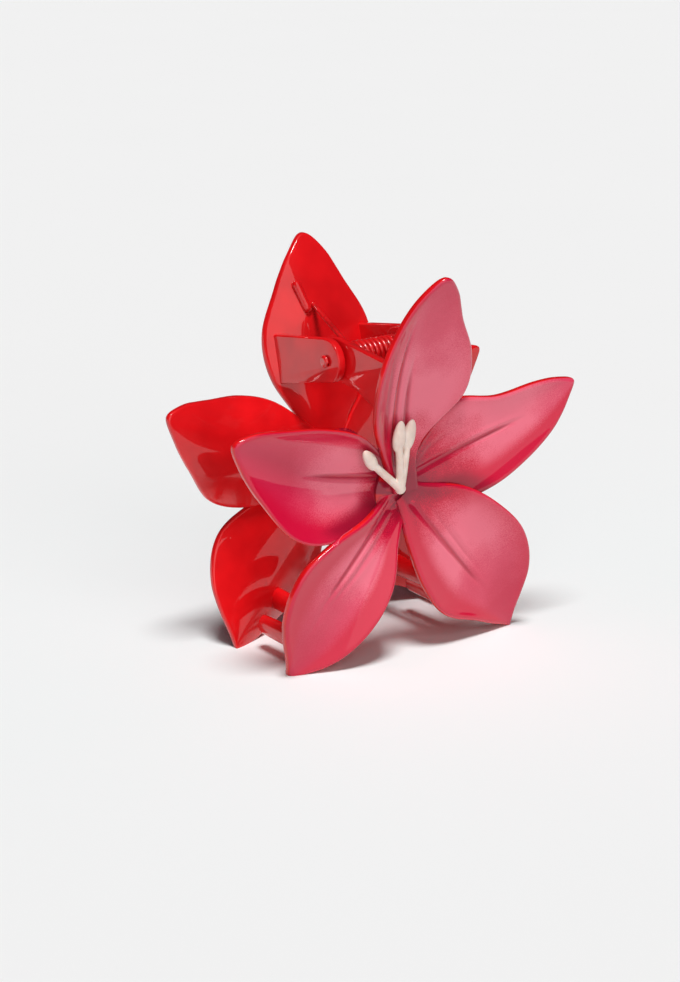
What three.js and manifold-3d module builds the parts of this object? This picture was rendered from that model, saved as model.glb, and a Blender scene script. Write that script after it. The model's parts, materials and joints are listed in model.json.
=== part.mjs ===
// Flower hair claw: two five-petal halves that turn on one pin, closed by a torsion spring.
// Millimetres, +Z up. The clip stands on its four lower petal tips. The pin runs along X, the
// front half lies at -Y and the back half at +Y. The origin is at the middle of the foot.

import * as THREE from 'three';
import { mergeVertices } from 'three/addons/utils/BufferGeometryUtils.js';
import Module from 'manifold-3d';

const wasm = await Module();
wasm.setup();

// ---------------------------------------------------------------- driving dimensions

const FLOOR_CUT = 0; // height of the small flats on the lower petal tips
const CENTRE_HEIGHT = 33.8; // height of the middle of each flower
const PETAL_WALL = 1.8;
const PIN_HEIGHT = 59;

const ROOT_HALF_WIDTH = 3; // of a petal at the middle of the flower
const TIP_HALF_WIDTH = 0.2;
const ROUND_START = 0.88; // part of the petal length where its tip starts to round off
const CURL_REACH = 12; // distance from the mid rib where an edge has risen by its curl

// Each petal: direction of its mid rib (degrees from +X), length, depth from the hinge plane at
// its root and tip, bow of the rib between them, half widths at each fifth of the length on the
// anticlockwise and clockwise sides, how far each side curls outwards, and how deep the petal is
// dished between its edges. The last two half widths are those that the end would have if the
// tip weren't rounded off; the round tip comes to its point midway between them.
const PETALS = [
  {
    angle: 92.5, length: 45.1, root: 12, tip: 24.5, bow: -3.2,
    anticlockwise: [6.7, 10.7, 10.7, 6.5, 0.9], clockwise: [3.5, 12.3, 12.7, 8.7, 5.6], curl: [5.2, 1.4],
    dish: 0,
  },
  {
    angle: 24.9, length: 42.6, root: 11.3, tip: 15.9, bow: 1,
    anticlockwise: [7.9, 10.9, 6.6, 4.2, 1.3], clockwise: [8.6, 10.4, 9.7, 7.3, 2.6], curl: [-1.1, 0.2],
    dish: 1.5,
  },
  {
    angle: 160.2, length: 42.8, root: 10.9, tip: 11.9, bow: -0.4,
    anticlockwise: [8.7, 13.2, 13.3, 7.7, 1.4], clockwise: [6.2, 8.9, 8.5, 6.2, 4], curl: [3.3, 7.8],
    dish: 1.2,
  },
  {
    angle: -50.9, length: 43.8, root: 11.7, tip: 10.8, bow: 3.5,
    anticlockwise: [9.6, 12.4, 12.8, 9.4, 0.9], clockwise: [7.5, 10.5, 10.6, 5.5, 1.4], curl: [1.8, 0],
    dish: 2.2,
  },
  {
    angle: -128.7, length: 43.2, root: 10.1, tip: 9.5, bow: 5.3,
    anticlockwise: [3.7, 7.1, 8, 6.8, 3], clockwise: [5.5, 11, 13.5, 10, 0.6], curl: [2.2, 0.2],
    dish: 2.2,
  },
];
const TOP_PETAL = PETALS[0];
const LOWER_RIGHT = PETALS[3];
const LOWER_LEFT = PETALS[4];
// The back half's lower left petal is fuller on the side towards its neighbour.
const BACK_LOWER_LEFT = { ...LOWER_LEFT, anticlockwise: [5.5, 12.8, 14, 8.5, 3] };
const FRONT_PETALS = PETALS;
const BACK_PETALS = [...PETALS.slice(0, 4), BACK_LOWER_LEFT];
const BODY_ROWS = 9; // mesh steps along a petal before its round tip
const TIP_ROWS = 4;
const ROWS = BODY_ROWS + TIP_ROWS;
const COLUMNS = 6; // mesh steps across a petal

const BOSS_RADIUS = 7;
const BOSS_DEPTH = 9; // distance of the boss face from the hinge plane
const BOSS_EDGE = 2; // width of its slanting edge

const EAR_WALL = 1.65;
const EAR_ROUND = 4.4; // radius of an ear's round end about the pin
// The ears of the back half lie outside those of the front half. Each: outer face from the
// middle, height of the upper and lower corners at the petal, and height of the lower edge at the belly.
const OUTER_EARS = { face: 10.4, top: 60.4, bottom: 50.7, belly: 53.1 };
const INNER_EARS = { face: 8.3, top: 61.8, bottom: 51, belly: 54.4 };
const BELLY_DEPTH = 7; // distance of the belly from the hinge plane
const EAR_ARC = [0.45 * Math.PI, 1.35 * Math.PI]; // start and end of the round end
const EAR_NECK = 0.2 * EAR_ROUND; // depth of the point where the upper edge meets the round end

const PIN_RADIUS = 0.8;
const PIN_BORE = 1.1;
const RIVET_RADIUS = 1.3;
const RIVET_RISE = 0.7;
// rings of a rivet head from its seat: part of its radius and part of its rise
const RIVET_RINGS = [[1, 0], [1, 0.2], [0.7, 0.75], [0, 1]];
const RUNNING_GAP = 0.3;

const WIRE_RADIUS = 0.5;
const COIL_RADIUS = 2.6; // to the middle of the wire
const COIL_HALF_LENGTH = 5.5;
const COIL_TURNS = 10; // less the angle between the two legs
const LEG_SLOPE = 14; // degrees above level
const LEG_LENGTH = 18.1;
const LEG_TIP_X = 1.9; // the legs lean in towards the middle

const PEG_RADIUS = 0.9; // of the moulded peg beside each spring leg
const PEG_OFFSET = 4; // from the middle
const PEG_HEIGHTS = [65.2, 69.8];
const PEG_LEAN = [0.8, -0.5]; // how far its foot and its head stand from PEG_OFFSET, along +X
const PEG_PROUD = 0.36; // from the petal's inner face to the peg's middle line
const PEG_SLIDE = 7.7; // along X from the back half's peg to the front half's

const TOOTH_TIP = -6.3; // how far a tooth reaches past the hinge plane
const TOOTH_RADIUS = 2;
const TOOTH_FLATTEN = 0.8; // width over depth of a tooth
const TOOTH_TALL = 1.2;
// rings from the tip of a tooth: part of its radius, and distance from its tip
const TOOTH_RINGS = [[0, 0], [0.5, 0.3], [0.8, 1.3], [0.92, 5]];
// teeth of the back half: place from the middle and height; the front half has the mirrored row
const TEETH = [
  { x: 22.1, z: 5.4 },
  { x: 10, z: 12 },
  { x: -14.2, z: 7.2 },
];

const FILAMENT_RADIUS = 0.8;
const FILAMENT_ARCH = 0.5; // how far a filament bows out between heel and anther
const ANTHER_OVERLAP = 0.3; // part of an anther's length that its filament runs into
const HEEL = [1.3, 0.9, 1.2]; // half sizes of the heel where the filaments meet
const ANTHER_THICKNESS = 0.95; // half of it
const STAMEN_LIFT = 0.4; // clear space under the sprig
const RIM_MARGIN = 1; // the sprig also clears a petal whose rim is this near
// each stamen: where the anther starts and ends (x, z), and its half width
const STAMENS = [
  { foot: [-8.6, 40.2], tip: [-11.6, 44.4], width: 1.3 },
  { foot: [-4.1, 43], tip: [-3.9, 49.6], width: 1.45 },
  { foot: [-2.1, 42.6], tip: [-0.8, 49.3], width: 1.5 },
];
const SPRIG_ROOT = [-2.8, 35.2];

const WELD = 1e-4; // vertices nearer than this are one
const CUT_WIDE = 200; // size of the block that trims off everything under the floor
const CUT_DEEP = 20;

const RED = { color: 0xd4141a, roughness: 0.18, metalness: 0 };
const PINK = { color: 0xd9486c, roughness: 0.28, metalness: 0 };
const CREAM = { color: 0xddd2c6, roughness: 0.5, metalness: 0 };

// ---------------------------------------------------------------- solids and meshes

// Turns a closed geometry into a solid that can be joined and cut.
function solid(geometry) {
  const bare = geometry.clone();
  bare.deleteAttribute('normal');
  bare.deleteAttribute('uv');
  const merged = mergeVertices(bare, WELD);
  return new wasm.Manifold(new wasm.Mesh({
    numProp: 3,
    vertProperties: new Float32Array(merged.attributes.position.array),
    triVerts: new Uint32Array(merged.index.array),
  }));
}

function geometryOf(body) {
  const mesh = body.getMesh();
  const geometry = new THREE.BufferGeometry();
  geometry.setAttribute('position', new THREE.BufferAttribute(mesh.vertProperties, 3));
  geometry.setIndex(new THREE.BufferAttribute(mesh.triVerts, 1));
  geometry.computeVertexNormals();
  return geometry;
}

function union(bodies) {
  return bodies.reduce((whole, body) => whole.add(body));
}

function piece(name, geometry, finish) {
  const mesh = new THREE.Mesh(geometry, new THREE.MeshStandardMaterial(finish));
  mesh.name = name;
  return mesh;
}

// Mirrors a geometry across the hinge plane and keeps its faces pointing out.
function mirrored(geometry) {
  const copy = geometry.clone();
  copy.scale(1, -1, 1);
  const corners = Array.from(copy.index.array);
  const turned = corners.map((corner, i) => corners[i - (i % 3) + 2 - (i % 3)]);
  copy.setIndex(turned);
  return copy;
}

// Lays a shape drawn in (depth, height) across X, from x = start.
function plate(shape, start, wall) {
  const geometry = new THREE.ExtrudeGeometry(shape, { depth: wall, bevelEnabled: false, curveSegments: 5 });
  const across = new THREE.Matrix4().makeBasis(
    new THREE.Vector3(0, 1, 0),
    new THREE.Vector3(0, 0, 1),
    new THREE.Vector3(1, 0, 0),
  );
  geometry.applyMatrix4(across);
  geometry.translate(start, 0, 0);
  return geometry;
}

// ---------------------------------------------------------------- petals

// Smooth value at part s of the way through a list of evenly spaced values.
function between(values, s) {
  const last = values.length - 1;
  const i = Math.min(Math.floor(s * last), last - 1);
  const t = s * last - i;
  const before = values[Math.max(i - 1, 0)];
  const after = values[Math.min(i + 2, last)];
  const leave = (values[i + 1] - before) / 2;
  const arrive = (after - values[i]) / 2;
  const cubic = 2 * values[i] - 2 * values[i + 1] + leave + arrive;
  const square = -3 * values[i] + 3 * values[i + 1] - 2 * leave - arrive;
  return ((cubic * t + square) * t + leave) * t + values[i];
}

// Places of a petal's two edges at part s of its length, across from the mid rib.
function edges(petal, s) {
  const low = -between([ROOT_HALF_WIDTH, ...petal.clockwise], s);
  const high = between([ROOT_HALF_WIDTH, ...petal.anticlockwise], s);
  const past = THREE.MathUtils.clamp((s - ROUND_START) / (1 - ROUND_START), 0, 1);
  const middle = (low + high) / 2;
  const half = Math.max(((high - low) / 2) * Math.sqrt(1 - past * past), TIP_HALF_WIDTH);
  return { low: middle - half, high: middle + half };
}

// Depth of the middle of the wall from the hinge plane, at part s of the length and b across.
function depthAt(petal, s, b) {
  const rib = petal.root + (petal.tip - petal.root) * s + petal.bow * 4 * s * (1 - s);
  const curl = b > 0 ? petal.curl[0] : petal.curl[1];
  const { low, high } = edges(petal, s);
  const part = Math.min(b / (b > 0 ? high : low), 1);
  const hollow = petal.dish * 4 * s * (1 - s) * (1 - part * part);
  return rib + curl * (b / CURL_REACH) ** 2 - hollow;
}

// Depth of the middle of the petal's wall at a place (x, z) of the flower.
function depthOver(petal, x, z) {
  const angle = THREE.MathUtils.degToRad(petal.angle);
  const up = z - CENTRE_HEIGHT;
  const along = x * Math.cos(angle) + up * Math.sin(angle);
  const across = -x * Math.sin(angle) + up * Math.cos(angle);
  return depthAt(petal, along / petal.length, across);
}

// Part of the petal length at a mesh row: even steps, then even angles round the tip.
function rowPlace(row) {
  if (row <= BODY_ROWS) {
    return ROUND_START * (row / BODY_ROWS);
  }
  const turn = ((row - BODY_ROWS) / TIP_ROWS) * (Math.PI / 2);
  return ROUND_START + (1 - ROUND_START) * Math.sin(turn);
}

// One petal of the back half: an inner and an outer sheet joined round the rim.
function petalGeometry(petal) {
  const angle = THREE.MathUtils.degToRad(petal.angle);
  const positions = [];
  for (const face of [-PETAL_WALL / 2, PETAL_WALL / 2]) {
    for (let i = 0; i <= ROWS; i += 1) {
      const s = rowPlace(i);
      const along = s * petal.length;
      const { low, high } = edges(petal, s);
      for (let j = 0; j <= COLUMNS; j += 1) {
        const b = THREE.MathUtils.lerp(low, high, j / COLUMNS);
        positions.push(
          along * Math.cos(angle) - b * Math.sin(angle),
          depthAt(petal, s, b) + face,
          CENTRE_HEIGHT + along * Math.sin(angle) + b * Math.cos(angle),
        );
      }
    }
  }
  const wide = COLUMNS + 1;
  const sheet = wide * (ROWS + 1);
  const faces = [];
  const quad = (a, b, c, d) => faces.push(a, b, c, a, c, d);
  for (let i = 0; i < ROWS; i += 1) {
    for (let j = 0; j < COLUMNS; j += 1) {
      const k = i * wide + j;
      quad(k, k + wide, k + wide + 1, k + 1);
      quad(sheet + k, sheet + k + 1, sheet + k + wide + 1, sheet + k + wide);
    }
    const low = i * wide;
    const high = low + COLUMNS;
    quad(low, sheet + low, sheet + low + wide, low + wide);
    quad(high, high + wide, sheet + high + wide, sheet + high);
  }
  for (let j = 0; j < COLUMNS; j += 1) {
    const tip = ROWS * wide + j;
    quad(j, j + 1, sheet + j + 1, sheet + j);
    quad(tip, sheet + tip, sheet + tip + 1, tip + 1);
  }
  const geometry = new THREE.BufferGeometry();
  geometry.setAttribute('position', new THREE.Float32BufferAttribute(positions, 3));
  geometry.setIndex(faces);
  return geometry;
}

// ---------------------------------------------------------------- parts of one half

// A round body turned about the depth direction, from rings of [radius, depth].
function turned(rings, sides) {
  const profile = rings.map(([radius, depth]) => new THREE.Vector2(radius, depth));
  return new THREE.LatheGeometry(profile, sides);
}

function boss() {
  const root = TOP_PETAL.root;
  const rings = [[0, BOSS_DEPTH], [BOSS_RADIUS - BOSS_EDGE, BOSS_DEPTH], [BOSS_RADIUS, root], [0, root]];
  const geometry = turned(rings, 16);
  geometry.translate(0, 0, CENTRE_HEIGHT);
  return geometry;
}

function ear(ears, side) {
  const start = side > 0 ? ears.face - EAR_WALL : -ears.face;
  const middle = start + EAR_WALL / 2;
  const shape = new THREE.Shape();
  shape.moveTo(depthOver(TOP_PETAL, middle, ears.bottom), ears.bottom);
  shape.lineTo(depthOver(TOP_PETAL, middle, ears.top), ears.top);
  shape.lineTo(EAR_NECK, PIN_HEIGHT + EAR_ROUND);
  shape.absarc(0, PIN_HEIGHT, EAR_ROUND, EAR_ARC[0], EAR_ARC[1], false);
  shape.lineTo(BELLY_DEPTH, ears.belly);
  shape.closePath();
  return plate(shape, start, EAR_WALL);
}

function tooth({ x, z }) {
  const petal = x > 0 ? LOWER_RIGHT : LOWER_LEFT;
  const root = depthOver(petal, x, z);
  const rings = TOOTH_RINGS.map(([radius, depth]) => [radius * TOOTH_RADIUS, TOOTH_TIP + depth]);
  rings.push([TOOTH_RADIUS, root], [0, root]);
  const geometry = turned(rings, 10);
  geometry.scale(TOOTH_FLATTEN, 1, TOOTH_TALL);
  geometry.translate(x, 0, z);
  return geometry;
}

// The peg lies up the inner face of the top petal, half sunk in it.
function peg() {
  const [foot, head] = PEG_HEIGHTS.map((height, i) => new THREE.Vector3(
    -PEG_OFFSET + PEG_LEAN[i],
    depthOver(TOP_PETAL, -PEG_OFFSET, height) - PETAL_WALL / 2 - PEG_PROUD,
    height,
  ));
  const length = foot.distanceTo(head);
  const geometry = new THREE.CapsuleGeometry(PEG_RADIUS, length, 3, 8);
  const up = new THREE.Vector3(0, 1, 0);
  const lean = new THREE.Quaternion().setFromUnitVectors(up, head.clone().sub(foot).normalize());
  geometry.applyQuaternion(lean);
  const middle = foot.add(head).multiplyScalar(0.5);
  geometry.translate(middle.x, middle.y, middle.z);
  return geometry;
}

function pinBore() {
  const geometry = new THREE.CylinderGeometry(PIN_BORE, PIN_BORE, 3 * OUTER_EARS.face, 12);
  geometry.rotateZ(Math.PI / 2);
  geometry.translate(0, 0, PIN_HEIGHT);
  return geometry;
}

function belowFloor() {
  const geometry = new THREE.BoxGeometry(CUT_WIDE, CUT_WIDE, CUT_DEEP);
  geometry.translate(0, 0, FLOOR_CUT - CUT_DEEP / 2);
  return geometry;
}

// One half as moulded, in the place of the back half. sideways is 1, or -1 to swap its teeth
// and its peg left for right.
function moulding(petals, ears, sideways) {
  const bodies = petals.map((petal) => solid(petalGeometry(petal)));
  bodies.push(solid(boss()));
  for (const side of [-1, 1]) {
    bodies.push(solid(ear(ears, side)));
  }
  for (const { x, z } of TEETH) {
    bodies.push(solid(tooth({ x: sideways * x, z })));
  }
  const latch = peg();
  if (sideways < 0) {
    latch.translate(PEG_SLIDE, 0, 0);
  }
  bodies.push(solid(latch));
  return union(bodies).subtract(solid(pinBore())).subtract(solid(belowFloor()));
}

// ---------------------------------------------------------------- hardware

function pinGeometry() {
  const seat = OUTER_EARS.face + RUNNING_GAP;
  const head = RIVET_RINGS.map(([radius, rise]) => [radius * RIVET_RADIUS, seat + rise * RIVET_RISE]);
  const half = [[PIN_RADIUS, seat], ...head];
  const other = half.map(([radius, place]) => [radius, -place]).reverse();
  const geometry = turned([...other, ...half], 12);
  geometry.rotateZ(-Math.PI / 2);
  geometry.translate(0, 0, PIN_HEIGHT);
  return geometry;
}

// The wire's centre line: back leg, coil, front leg.
class SpringLine extends THREE.Curve {
  getPoint(t, target = new THREE.Vector3()) {
    const slope = THREE.MathUtils.degToRad(LEG_SLOPE);
    const first = Math.PI / 2 + slope;
    const sweep = COIL_TURNS * 2 * Math.PI - 2 * slope;
    const coilLength = sweep * COIL_RADIUS;
    const whole = coilLength + 2 * LEG_LENGTH;
    const travelled = t * whole - LEG_LENGTH;
    const part = THREE.MathUtils.clamp(travelled / coilLength, 0, 1);
    const past = travelled - part * coilLength;
    const angle = first + part * sweep;
    const lean = (Math.abs(past) / LEG_LENGTH) * (COIL_HALF_LENGTH - LEG_TIP_X);
    const x = (2 * part - 1) * COIL_HALF_LENGTH;
    target.set(
      x - Math.sign(x) * lean,
      COIL_RADIUS * Math.cos(angle) - past * Math.sin(angle),
      PIN_HEIGHT + COIL_RADIUS * Math.sin(angle) + past * Math.cos(angle),
    );
    return target;
  }
}

function springGeometry() {
  const section = new THREE.Shape();
  section.absarc(0, 0, WIRE_RADIUS, 0, 2 * Math.PI, false);
  return new THREE.ExtrudeGeometry(section, {
    extrudePath: new SpringLine(),
    steps: 150,
    curveSegments: 3,
    bevelEnabled: false,
  });
}

// ---------------------------------------------------------------- stamens

// Depth at which the sprig lies over the outer faces of the petals, at (x, z).
function sprigDepth(x, z, halfThickness) {
  const surface = Math.max(...PETALS.map((petal) => coveredDepth(petal, x, z)));
  return surface + PETAL_WALL / 2 + STAMEN_LIFT + halfThickness;
}

// Depth of a petal at (x, z), or of its root where the petal does not reach.
function coveredDepth(petal, x, z) {
  const angle = THREE.MathUtils.degToRad(petal.angle);
  const up = z - CENTRE_HEIGHT;
  const along = x * Math.cos(angle) + up * Math.sin(angle);
  const across = -x * Math.sin(angle) + up * Math.cos(angle);
  const s = along / petal.length;
  const { low, high } = edges(petal, s);
  if (s < 0 || s > 1 || across < low - RIM_MARGIN || across > high + RIM_MARGIN) {
    return petal.root;
  }
  return depthAt(petal, s, across);
}

function stamenParts({ foot, tip, width }) {
  const [rootX, rootZ] = SPRIG_ROOT;
  const root = new THREE.Vector3(rootX, sprigDepth(rootX, rootZ, FILAMENT_RADIUS), rootZ);
  const from = new THREE.Vector3(foot[0], sprigDepth(foot[0], foot[1], ANTHER_THICKNESS), foot[1]);
  const to = new THREE.Vector3(tip[0], sprigDepth(tip[0], tip[1], ANTHER_THICKNESS), tip[1]);
  const bend = root.clone().lerp(from, 0.5);
  bend.y += FILAMENT_ARCH;
  const section = new THREE.Shape();
  section.absarc(0, 0, FILAMENT_RADIUS, 0, 2 * Math.PI, false);
  const filament = new THREE.ExtrudeGeometry(section, {
    extrudePath: new THREE.QuadraticBezierCurve3(root, bend, from.clone().lerp(to, ANTHER_OVERLAP)),
    steps: 6,
    curveSegments: 4,
    bevelEnabled: false,
  });
  const anther = new THREE.SphereGeometry(1, 10, 8);
  anther.scale(width, from.distanceTo(to) / 2, ANTHER_THICKNESS);
  const along = to.clone().sub(from).normalize();
  const out = new THREE.Vector3(0, 1, 0);
  const side = new THREE.Vector3().crossVectors(along, out).normalize();
  out.crossVectors(side, along);
  anther.applyMatrix4(new THREE.Matrix4().makeBasis(side, along, out));
  const middle = from.clone().add(to).multiplyScalar(0.5);
  anther.translate(middle.x, middle.y, middle.z);
  return [solid(filament), solid(anther)];
}

function sprig() {
  const [x, z] = SPRIG_ROOT;
  const heel = new THREE.SphereGeometry(1, 12, 8);
  heel.scale(...HEEL);
  heel.translate(x, sprigDepth(x, z, HEEL[1]), z);
  return union([solid(heel), ...STAMENS.flatMap(stamenParts)]);
}

// ---------------------------------------------------------------- assembly

const backFlower = geometryOf(moulding(BACK_PETALS, OUTER_EARS, 1));
const frontFlower = mirrored(geometryOf(moulding(FRONT_PETALS, INNER_EARS, -1)));
const backSprig = geometryOf(sprig());

// The origin is midway between the tips of the side petals.
backFlower.computeBoundingBox();
const group = new THREE.Group();
group.position.x = -(backFlower.boundingBox.min.x + backFlower.boundingBox.max.x) / 2;
group.add(
  piece('front_flower', frontFlower, PINK),
  piece('back_flower', backFlower, PINK),
  piece('hinge_pin', pinGeometry(), RED),
  piece('jaw_spring', springGeometry(), RED),
  piece('front_stamens', mirrored(backSprig), CREAM),
  piece('back_stamens', backSprig, CREAM),
);

export default group;
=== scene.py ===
"""Looks of a flower hair claw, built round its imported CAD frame.

The claw is two flower-shaped mouldings in glossy red ABS that turn on one riveted pin. Their outer
faces are airbrushed with pearl pink and the whole clip is dipped in clear lacquer. An enamelled
torsion spring closes the teeth, and a small cream sprig of stamens sits on each flower. Shapes are
worked out in millimetres in the flower's own frame, with x measured from the middle of the pin.
"""

import json
import logging
import math
from collections.abc import Sequence
from dataclasses import dataclass, field, replace
from enum import Enum
from typing import Any, ClassVar

import bmesh
import bpy
import numpy as np
from mathutils import Matrix, Vector


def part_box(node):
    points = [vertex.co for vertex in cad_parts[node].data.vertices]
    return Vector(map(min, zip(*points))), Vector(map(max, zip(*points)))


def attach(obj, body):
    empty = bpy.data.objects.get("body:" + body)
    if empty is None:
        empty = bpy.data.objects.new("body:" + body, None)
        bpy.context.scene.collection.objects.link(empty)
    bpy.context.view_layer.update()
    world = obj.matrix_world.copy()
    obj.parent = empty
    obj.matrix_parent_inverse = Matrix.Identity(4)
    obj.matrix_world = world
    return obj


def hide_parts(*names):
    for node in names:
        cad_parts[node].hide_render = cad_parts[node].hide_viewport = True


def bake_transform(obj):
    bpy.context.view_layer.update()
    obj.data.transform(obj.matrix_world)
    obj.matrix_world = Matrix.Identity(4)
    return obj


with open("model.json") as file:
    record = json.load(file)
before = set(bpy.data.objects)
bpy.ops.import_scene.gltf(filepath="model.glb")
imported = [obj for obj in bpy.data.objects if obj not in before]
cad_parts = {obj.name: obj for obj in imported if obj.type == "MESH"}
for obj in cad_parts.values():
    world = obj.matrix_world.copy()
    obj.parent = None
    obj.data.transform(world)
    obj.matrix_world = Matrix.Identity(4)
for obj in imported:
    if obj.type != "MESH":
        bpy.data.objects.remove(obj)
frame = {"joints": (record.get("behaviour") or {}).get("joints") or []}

LOG = logging.getLogger("flower_claw")
MM = 0.001
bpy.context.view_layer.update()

CENTRE_HEIGHT = 33.8  # of the middle of each flower
PIN_HEIGHT = frame["joints"][0]["pos_m"][2] / MM
PIN_MIDDLE = (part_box("hinge_pin")[0].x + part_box("hinge_pin")[1].x) / 2  # metres from the origin
WALL = 1.8  # of a petal
RIM_RADIUS = 0.35  # rounding of a petal's inner rim edge
ROLL_RADIUS = 1.0  # rounding of its outer rim edge, which rolls softly back
SMOOTH_ANGLE = math.radians(38)  # sharper edges than this stay crisp
POLE_ANGLE = 0.12  # radians from the pole of a dome to its first ring
NOISE_LOW, NOISE_HIGH = 0.3, 0.7  # nearly all values of a noise texture lie between these


class Side(Enum):
    """Which half of the claw a piece belongs to, as its direction along Y."""

    FRONT = -1
    BACK = 1


class Join(Enum):
    """How one solid changes another."""

    ADD = "UNION"
    CUT = "DIFFERENCE"


# ------------------------------------------------------------------ colours and nodes


def linear(code: str) -> tuple[float, float, float, float]:
    """Turns an sRGB hex colour into linear light.

    Args:
        code: Six hex digits, with or without a leading #.

    Returns:
        Red, green, blue and an alpha of one.
    """
    digits = code.lstrip("#")
    parts = [int(digits[i:i + 2], 16) / 255 for i in (0, 2, 4)]
    light = [p / 12.92 if p <= 0.04045 else ((p + 0.055) / 1.055) ** 2.4 for p in parts]
    return (light[0], light[1], light[2], 1.0)


def per_mm(size: float) -> float:
    """Texture scale, per metre, whose features are size millimetres across."""
    return 1 / (size * MM)


def add_node(
    tree: bpy.types.NodeTree, kind: str, links: dict[Any, Any] | None = None, **settings: Any
) -> bpy.types.Node:
    """Adds one node with its settings and its inputs.

    Args:
        tree: The node tree it goes into.
        kind: Blender's name of the node type.
        links: Each input's name or number, with a socket to link or a value to set.
        settings: The node's own properties.

    Returns:
        The new node.
    """
    node = tree.nodes.new(kind)
    for name, value in settings.items():
        setattr(node, name, value)
    for key, value in (links or {}).items():
        if isinstance(value, bpy.types.NodeSocket):
            tree.links.new(value, node.inputs[key])
        else:
            node.inputs[key].default_value = value
    return node


def new_material(name: str) -> tuple[bpy.types.Material, bpy.types.NodeTree]:
    """Makes an empty node material.

    Args:
        name: The material's name.

    Returns:
        The material and its node tree, which holds nothing yet.
    """
    material = bpy.data.materials.new(name)
    material.use_nodes = True
    material.node_tree.nodes.clear()
    return material, material.node_tree


def set_ramp(node: bpy.types.Node, stops: Sequence[tuple[float, str]]) -> bpy.types.NodeSocket:
    """Gives a colour ramp its stops.

    Args:
        node: The colour ramp node.
        stops: Each place from 0 to 1 with its sRGB hex colour.

    Returns:
        The ramp's colour output.
    """
    elements = node.color_ramp.elements
    while len(elements) < len(stops):
        elements.new(0.5)
    for element, (place, code) in zip(elements, stops):
        element.position = place
        element.color = linear(code)
    return node.outputs["Color"]


# ------------------------------------------------------------------ finishes


@dataclass(frozen=True)
class Coat:
    """How one more colour, of the spray or of painted shade, comes in over the others, from the mesh's value
    of it.
    """

    start: float  # the value where it begins to show
    most: float  # how much it hides of the colours below where the value is 1
    speckle: float = 0.0  # how much the dots of paint break up its edge


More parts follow.
